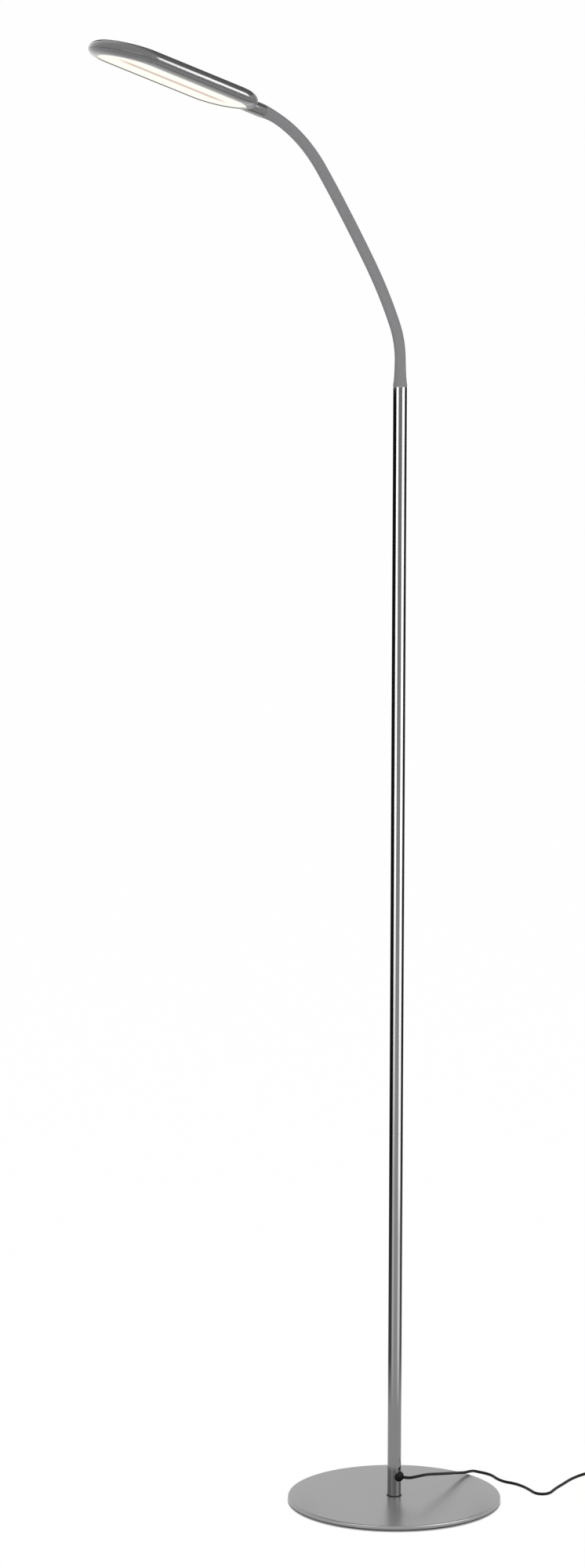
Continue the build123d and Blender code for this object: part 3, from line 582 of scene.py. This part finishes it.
links.new(streak_mask.outputs["Value"], lit.inputs[0])
links.new(lit.outputs[2], nodes["Principled BSDF"].inputs["Emission Color"])
nodes["Principled BSDF"].inputs["Emission Strength"].default_value = glow_strength
coat(frame["nodes"]["diffuser"], glow)

# ---------------------------------------------------------------- inside the head
# A white reflector tray, the LED strip with its LEDs, an aluminium heat spreader held by
# four screws, the driver board and the touch sensor's copper pad: all closed in.
white_plastic = finish("white reflector plastic", [(0.80, 0.80, 0.78), (0.86, 0.86, 0.84)], (0.4, 0.5),
                       40, 900, 0.00001)
aluminium = finish("mill aluminium", [(0.66, 0.67, 0.68), (0.76, 0.77, 0.78)], (0.3, 0.42),
                   60, 1300, 0.00001, Metallic=1.0)
phosphor = finish("led phosphor", [(0.90, 0.62, 0.22), (0.96, 0.72, 0.32)], (0.35, 0.5), 300, 2500, 0.00001)
solder_mask = finish("green solder mask", [(0.01, 0.10, 0.035), (0.015, 0.14, 0.05)], (0.25, 0.35),
                     150, 1500, 0.00001)
copper = finish("copper foil", [(0.70, 0.33, 0.20), (0.80, 0.40, 0.26)], (0.25, 0.4), 90, 1200, 0.00001,
                Metallic=1.0)
for node, material in [("reflector_tray", white_plastic), ("led_board", white_plastic),
                       ("leds", phosphor), ("heat_spreader", aluminium), ("head_screws", zinc),
                       ("driver_board", solder_mask), ("touch_sensor", copper)]:
    coat(frame["nodes"][node], material)

# ---------------------------------------------------------------- wall adapter
# A black plug-in adapter moulded in two parts, finely textured, with two nickel-plated
# blades and a ribbed relief where the cord comes out.
textured_black = finish("textured black plastic", [(0.010, 0.010, 0.011), (0.016, 0.016, 0.017)],
                        (0.42, 0.55), 50, 1600, 0.00006)
plated = finish("nickel-plated brass", [(0.62, 0.60, 0.55), (0.72, 0.70, 0.64)], (0.18, 0.3), 150, 1500,
                0.000005, Metallic=1.0)
for node, name, material, slot in [
        ("adapter_body", "adapter_case", textured_black, "adapter_plastic"),
        ("adapter_cover", "adapter_face", textured_black, "adapter_plastic"),
        ("adapter_strain_relief", "adapter_relief", rubber, "black_rubber"),
        ("coil_tie", "cord_tie", rubber, "black_rubber")]:
    piece = smoothed_copy(node, name)
    coat(piece, material)
coat(frame["nodes"]["adapter_blades"], plated)

# ---------------------------------------------------------------- cord
# A thin, limp two-core lead in black vinyl. It leaves the grommet level, comes down over the
# plate's edge, wanders over the floor, and its spare length is coiled and tied by the adapter.
cord_diameter = 0.0035
grommet_turn = radians(-80)
grommet_axis = Vector((cos(grommet_turn), sin(grommet_turn), 0))
exit_reach = 0.0123
exit_height = 0.030
straight_out = 0.008
cord_exit = grommet_axis * exit_reach + Vector((0, 0, exit_height))
coil_start = Vector((0.262, -0.093, 0.0026))
coil_radius = 0.026
turn_pitch = 0.0046
adapter_end = Vector((0.312, -0.122, 0.013))

millimetre = 0.001
cord_points = [cord_exit, cord_exit + grommet_axis * straight_out]
cord_points += [Vector(point) * millimetre for point in [
    (10.0, -26.6, 32.0), (20.0, -27.6, 31.9), (34.0, -23.0, 29.2), (54.0, -19.0, 24.6),
    (78.0, -13.0, 19.0), (101.0, -5.5, 13.3), (117.0, -2.0, 9.3), (128.5, -0.3, 8.3),
    (136.5, 1.6, 6.7), (144.3, 1.6, 3.9), (149.5, -3.5, 2.4), (151.0, -11.5, 1.9),
    (148.5, -20.5, 1.8), (144.0, -31.0, 1.85), (142.0, -43.5, 1.8), (145.5, -57.0, 1.85),
    (144.5, -72.0, 1.8), (139.5, -88.0, 1.85), (135.0, -99.0, 1.8), (135.2, -106.5, 1.85),
    (140.2, -111.9, 1.8), (148.0, -112.8, 1.85), (157.3, -108.8, 1.8), (168.5, -104.0, 1.85),
    (186.0, -98.5, 1.8), (206.0, -91.5, 1.85), (226.0, -88.3, 1.9), (240.0, -89.5, 2.2),
    (249.5, -93.0, 2.6), (258.5, -93.0, 2.6)]]
cord_points.append(coil_start)

step = turn_pitch / 2
innermost = coil_radius - 4 * step
half_turns = [(coil_radius - step * count, 0) for count in range(5)]
for layer in (1, 2, 3):
    inwards = layer == 2
    half_turns.append((coil_radius - step / 2 if inwards else innermost - step / 2, turn_pitch))
    half_turns += [(innermost + step * (3 - count if inwards else count), 0) for count in range(4)]
here = coil_start
side = 1
points_per_half_turn = 12
for radius, climb in half_turns:
    centre = here - Vector((0, radius * side, 0))
    for part in range(1, points_per_half_turn + 1):
        turn = pi * part / points_per_half_turn
        rise = climb * part / points_per_half_turn
        cord_points.append(centre + Vector((radius * side * sin(turn), radius * side * cos(turn), rise)))
    here = cord_points[-1]
    side = -side
coil_run_out = 0.01
cord_points += [here + Vector((run, 0, 0)) for run in (cord_diameter, cord_diameter + coil_run_out)]
cord_points += [Vector(point) * millimetre for point in [
    (287.0, -95.9, 13.9), (298.5, -98.6, 12.6), (308.0, -104.6, 12.5), (312.0, -113.6, 13.0)]]
cord_points.append(adapter_end)

cord_curve = bpy.data.curves.new("cord", "CURVE")
cord_curve.dimensions = "3D"
spline = cord_curve.splines.new("NURBS")
spline.points.add(len(cord_points) - 1)
for point, place in zip(spline.points, cord_points):
    point.co = (*place, 1)
spline.order_u = 3
spline.use_endpoint_u = True
cord_curve.resolution_u = 6
cord_curve.bevel_depth = cord_diameter / 2
cord_curve.bevel_resolution = 5
cord_curve.use_fill_caps = True
cord = bpy.data.objects.new("cord", cord_curve)
bpy.context.scene.collection.objects.link(cord)
vinyl = finish("black vinyl", [(0.002, 0.002, 0.002), (0.004, 0.004, 0.004)], (0.36, 0.48),
               60, 1500, 0.00001, Specular_IOR_Level=0.18)
coat(cord, vinyl)
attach(cord, "stand")
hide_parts("cord_free", "cord_coil", "cord_tail")

# ---------------------------------------------------------------- floor and backdrop
# A plain white floor and a white world all round. Seen directly or in gloss both are white; the floor keeps
# a faint shadow. Under the plate a painted shadow, a ring where the floor's own light is taken away, gives
# a dark line that widens at its front.
floor_side = 120
floor_white = (0.8, 0.8, 0.8, 1)
floor_roughness = 0.9
bounce_share = 0.4
direct_share = 0.88
own_strength = 1.06
painted_shadow_shift = (0.0026, 0.0026, 0)
painted_shadow_inside = 0.0005
painted_shadow_outside = 0.0007
bpy.ops.object.select_all(action="DESELECT")
bpy.ops.mesh.primitive_plane_add(size=floor_side)
floor = bpy.context.object
floor.name = "floor"


def seen_mask(nodes, links):
    """A Light Path mask: 1 for what is seen directly, in gloss or through glass."""
    path = nodes.new("ShaderNodeLightPath")
    either = path.outputs["Is Camera Ray"]
    for ray in ("Is Glossy Ray", "Is Transmission Ray"):
        most = nodes.new("ShaderNodeMath")
        most.operation = "MAXIMUM"
        links.new(either, most.inputs[0])
        links.new(path.outputs[ray], most.inputs[1])
        either = most.outputs["Value"]
    return either


white_floor = bpy.data.materials.new("white floor")
white_floor.use_nodes = True
nodes, links = white_floor.node_tree.nodes, white_floor.node_tree.links
nodes["Principled BSDF"].inputs["Base Color"].default_value = floor_white
nodes["Principled BSDF"].inputs["Roughness"].default_value = floor_roughness
nodes["Principled BSDF"].inputs["Specular IOR Level"].default_value = 0.0
own_light = nodes.new("ShaderNodeEmission")
own_light.inputs["Strength"].default_value = own_strength
share = nodes.new("ShaderNodeMapRange")
share.inputs["To Min"].default_value = bounce_share
share.inputs["To Max"].default_value = direct_share
links.new(seen_mask(nodes, links), share.inputs["Value"])
# Painted shadow: the floor's own light is taken away under the plate and just past its edge, in a ring
# shifted towards the front.
place = nodes.new("ShaderNodeTexCoord")
towards_front = nodes.new("ShaderNodeVectorMath")
towards_front.inputs[1].default_value = painted_shadow_shift
links.new(place.outputs["Object"], towards_front.inputs[0])
from_middle = nodes.new("ShaderNodeVectorMath")
from_middle.operation = "LENGTH"
links.new(towards_front.outputs["Vector"], from_middle.inputs[0])
clear = nodes.new("ShaderNodeMapRange")
clear.inputs["From Min"].default_value = plate_radius - painted_shadow_inside
clear.inputs["From Max"].default_value = plate_radius + painted_shadow_outside
links.new(from_middle.outputs["Value"], clear.inputs["Value"])
open_share = nodes.new("ShaderNodeMath")
open_share.operation = "MULTIPLY"
links.new(share.outputs["Result"], open_share.inputs[0])
links.new(clear.outputs["Result"], open_share.inputs[1])
blend_floor = nodes.new("ShaderNodeMixShader")
links.new(open_share.outputs["Value"], blend_floor.inputs["Fac"])
links.new(nodes["Principled BSDF"].outputs["BSDF"], blend_floor.inputs[1])
links.new(own_light.outputs["Emission"], blend_floor.inputs[2])
links.new(blend_floor.outputs["Shader"], nodes["Material Output"].inputs["Surface"])
coat(floor, white_floor)

world = bpy.data.worlds.new("studio")
bpy.context.scene.world = world
world.use_nodes = True
nodes, links = world.node_tree.nodes, world.node_tree.links
white = (1, 1, 1, 1)
ambient_strength = 0.62
backdrop_strength = 1.0
ambient = nodes["Background"]
ambient.inputs["Color"].default_value = white
ambient.inputs["Strength"].default_value = ambient_strength
backdrop = nodes.new("ShaderNodeBackground")
backdrop.inputs["Color"].default_value = white
backdrop.inputs["Strength"].default_value = backdrop_strength
blend_world = nodes.new("ShaderNodeMixShader")
links.new(seen_mask(nodes, links), blend_world.inputs["Fac"])
links.new(ambient.outputs["Background"], blend_world.inputs[1])
links.new(backdrop.outputs["Background"], blend_world.inputs[2])
links.new(blend_world.outputs["Shader"], nodes["World Output"].inputs["Surface"])

# ---------------------------------------------------------------- lights and flags
# One wide soft light overhead. Bright and black cards stand round the lamp for its gloss
# alone: they give the pole and the head their white stripes and dark edges.
overhead_side = 2.2
overhead_power = 15
overhead_place = Vector((-1.2, -1.6, 3.6))
overhead_aim = Vector((0, 0, 1))
overhead = bpy.data.lights.new("overhead", "AREA")
overhead.shape = "RECTANGLE"
overhead.size = overhead_side
overhead.size_y = overhead_side
overhead.energy = overhead_power
lamp = bpy.data.objects.new("overhead", overhead)
bpy.context.scene.collection.objects.link(lamp)


def turned(place, front):
    """The matrix that puts a light or a card at a place, with its +Z side this way."""
    return Matrix.Translation(place) @ front.to_track_quat("Z", "Y").to_matrix().to_4x4()


lamp.matrix_world = turned(overhead_place, overhead_place - overhead_aim)
lamp.visible_camera = False
lamp.visible_glossy = False

camera_azimuth = radians(-90) - camera_yaw


def card(name, middle, width, height, facing, stops):
    """A card that only gloss sees, with its middle at a point, facing another.

    stops are (share of its height, strength of its glow there), from the bottom up.
    """
    bpy.ops.object.select_all(action="DESELECT")
    bpy.ops.mesh.primitive_plane_add(size=1)
    piece = bpy.context.object
    piece.name = name
    piece.matrix_world = turned(middle, Vector(facing) - middle) @ Matrix.Diagonal((width, height, 1, 1))
    material = bpy.data.materials.new(name)
    material.use_nodes = True
    nodes, links = material.node_tree.nodes, material.node_tree.links
    nodes.remove(nodes["Principled BSDF"])
    place = nodes.new("ShaderNodeTexCoord")
    apart = nodes.new("ShaderNodeSeparateXYZ")
    links.new(place.outputs["Object"], apart.inputs["Vector"])
    share = nodes.new("ShaderNodeMath")
    share.inputs[1].default_value = 0.5
    links.new(apart.outputs["Y"], share.inputs[0])
    ramp = nodes.new("ShaderNodeValToRGB")
    links.new(share.outputs["Value"], ramp.inputs["Fac"])
    brightest = max(strength for at, strength in stops)
    while len(ramp.color_ramp.elements) < len(stops):
        ramp.color_ramp.elements.new(0.5)
    while len(ramp.color_ramp.elements) > len(stops):
        ramp.color_ramp.elements.remove(ramp.color_ramp.elements[-1])
    for element, (at, strength) in zip(ramp.color_ramp.elements, stops):
        level = strength / brightest
        element.position = at
        element.color = (level, level, level, 1)
    light = nodes.new("ShaderNodeEmission")
    light.inputs["Strength"].default_value = brightest
    links.new(ramp.outputs["Color"], light.inputs["Color"])
    links.new(light.outputs["Emission"], nodes["Material Output"].inputs["Surface"])
    piece.data.materials.append(material)
    for ray in ("camera", "diffuse", "shadow", "transmission", "volume_scatter"):
        setattr(piece, "visible_" + ray, False)


def pole_card(name, turn_from, turn_to, distance, *stops):
    """A card between two angles round the pole, counted from the camera to its right."""
    middle_turn = camera_azimuth + radians((turn_from + turn_to) / 2)
    half_turn = radians(abs(turn_to - turn_from) / 2)
    offset = distance * cos(half_turn)
    middle = Vector((offset * cos(middle_turn), offset * sin(middle_turn), card_height / 2))
    card(name, middle, 2 * distance * sin(half_turn), card_height, (0, 0, card_height / 2), stops)


def head_card(name, distance, azimuth, elevation, width, height, *stops):
    """A card this far from the head, in the direction that its gloss reflects."""
    turn = radians(azimuth)
    rise = radians(elevation)
    direction = Vector((cos(rise) * cos(turn), cos(rise) * sin(turn), sin(rise)))
    card(name, head_centre + direction * distance, width, height, head_centre, stops)


card_height = 1.3
strip_distance = 0.45
middle_distance = 0.46
flag_distance = 0.2
pole_card("strip left", -57, -25, strip_distance,
          (0.0, 1.1), (0.06, 1.6), (0.22, 1.75), (0.38, 3.2), (0.58, 5.5))
pole_card("strip right", 39, 79, strip_distance,
          (0.0, 1.3), (0.06, 2.3), (0.16, 2.4), (0.22, 3.9), (0.38, 4.4), (0.58, 5.5))
pole_card("camera side", -23, 37, middle_distance, (0.0, 1.0), (0.35, 1.0), (0.85, 0.6))
pole_card("flag left", -150, -60, flag_distance, (0.0, 1.0), (0.05, 1.0), (0.1, 0.2), (0.3, 0.02))
pole_card("flag right", 82, 150, flag_distance, (0.0, 1.0), (0.05, 1.0), (0.1, 0.3), (0.3, 0.06))

far_off = 2.0
near_by = 0.5
head_card("head softbox", far_off, -39, 8.5, 0.6, 0.67, (0.0, 9.0))
head_card("head flag", far_off, 6, 41, 2.3, 2.5, (0.0, 0.02), (0.45, 0.02), (1.0, 0.9))
head_card("head edge flag", far_off, 48, 12, 1.0, 1.3, (0.0, 0.02))
head_card("head tip card", far_off, -132, 4, 2.2, 1.0, (0.0, 2.0))
head_card("head neck flag", near_by, 12, -13, 0.5, 0.39, (0.0, 0.45))

# A pale shelf just over the strips keeps their bright tops out of the head's lower rim.
shelf_gap = 0.015
shelf_glow = 0.9
shelf_place = Vector((0.1, -0.4, card_height + shelf_gap))
card("shelf over strips", shelf_place, 1.0, 0.6, shelf_place + Vector((0, 0, 1)), [(0.0, shelf_glow)])

scene = bpy.context.scene
scene.view_settings.view_transform = "Standard"
